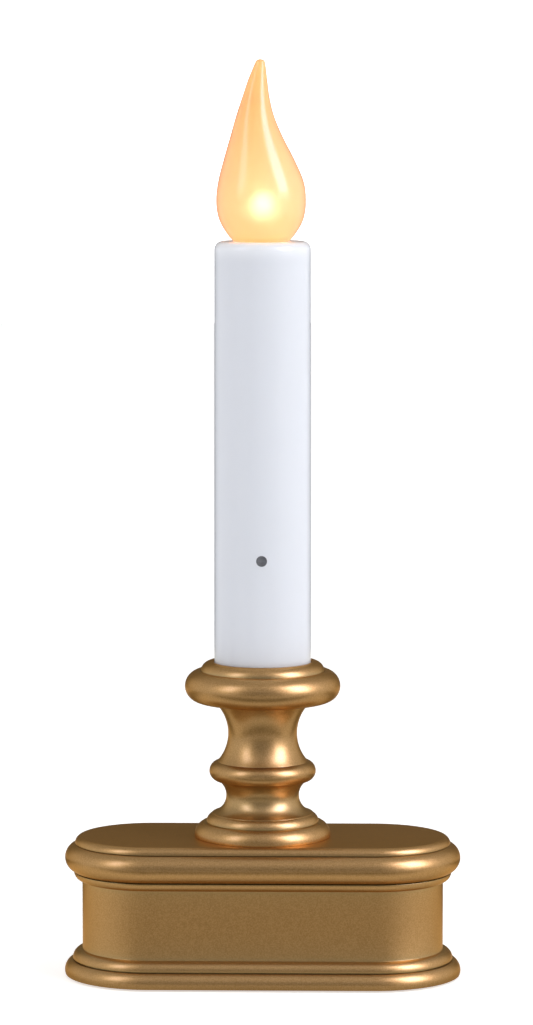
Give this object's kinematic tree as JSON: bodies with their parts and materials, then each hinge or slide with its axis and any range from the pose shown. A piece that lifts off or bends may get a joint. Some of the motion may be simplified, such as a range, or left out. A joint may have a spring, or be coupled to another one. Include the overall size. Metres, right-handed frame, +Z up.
{
  "type": "flameless led candle",
  "caption": "Battery window candle: lit flame on a white tube with a light sensor, turning in a brass-finished turned stem on an obround moulded base.",
  "frame": {"origin": "centre of the footprint, on the surface that the foot pads stand on", "axes": "+Z up along the candle tube's axis, +X along the base towards the viewer's right, -Y towards the front with the light sensor"},
  "size_m": [0.0992, 0.0438, 0.2286],
  "materials": {
    "brass_paint": "satin antique-brass metallic lacquer over metal, very fine grain",
    "black_plastic": "fine spark-eroded texture",
    "knob_plastic": "fine texture",
    "steel": "zinc plated",
    "spring_steel": "bright drawn wire and strip",
    "nickel_contact": "nickel plated strip",
    "lead_insulation": "satin PVC insulation, red and black",
    "sleeve_rubber": "matt shrink sleeve",
    "foot_rubber": "matt",
    "cell_jacket": "printed foil jacket, black with a copper-coloured band",
    "tube_white": "smooth glossy white",
    "socket_white": "smooth",
    "carrier_plastic": "as moulded",
    "circuit_board": "green solder mask",
    "chip_black": "moulded epoxy",
    "part_body": "ceramic and sleeved parts",
    "sensor_body": "clear-coated photocell",
    "window_smoke": "smoked, polished",
    "led_epoxy": "lit, diffused epoxy",
    "flame_amber": "translucent amber, lit from inside"
  },
  "bodies": {
    "base": {"base_shell": "brass_paint", "base_plate": "black_plastic", "base_screws": "steel", "foot_pads": "foot_rubber", "door_hinge_pin": "steel", "aa_cell_1": "cell_jacket", "aa_cell_2": "cell_jacket", "positive_contact": "nickel_contact", "negative_contact": "nickel_contact", "bridge_contact": "nickel_contact", "contact_springs": "spring_steel", "switch_housing": "steel", "switch_leads": "lead_insulation", "stem": "brass_paint", "stem_screws": "steel", "friction_washer": "spring_steel", "lead_sleeve": "sleeve_rubber"},
    "candle": {"candle_tube": "tube_white", "swivel_plug": "black_plastic", "swivel_clip": "spring_steel", "board_carrier": "carrier_plastic", "control_board": "circuit_board", "control_chip": "chip_black", "board_parts": "part_body", "light_sensor": "sensor_body", "sensor_window": "window_smoke", "tube_leads": "lead_insulation", "led_board": "circuit_board", "led_spacer": "socket_white", "led": "led_epoxy", "flame_socket": "socket_white", "flame_bulb": "flame_amber"},
    "door": {"battery_door": "black_plastic"},
    "switch": {"switch_knob": "knob_plastic"}
  },
  "joints": [
    {"name": "tube_swivel", "type": "hinge", "parent": "base", "child": "candle", "pos_m": [0, 0, 0.0705], "axis": [0, 0, 1], "range_deg": [-165, 165]},
    {"name": "battery_door_hinge", "type": "hinge", "parent": "base", "child": "door", "pos_m": [-0.032, 0, 0.0023], "axis": [0, 1, 0], "range_deg": [0, 110]},
    {"name": "switch_slide", "type": "slide", "parent": "base", "child": "switch", "axis": [1, 0, 0], "range_m": [0, 0.003]}
  ]
}
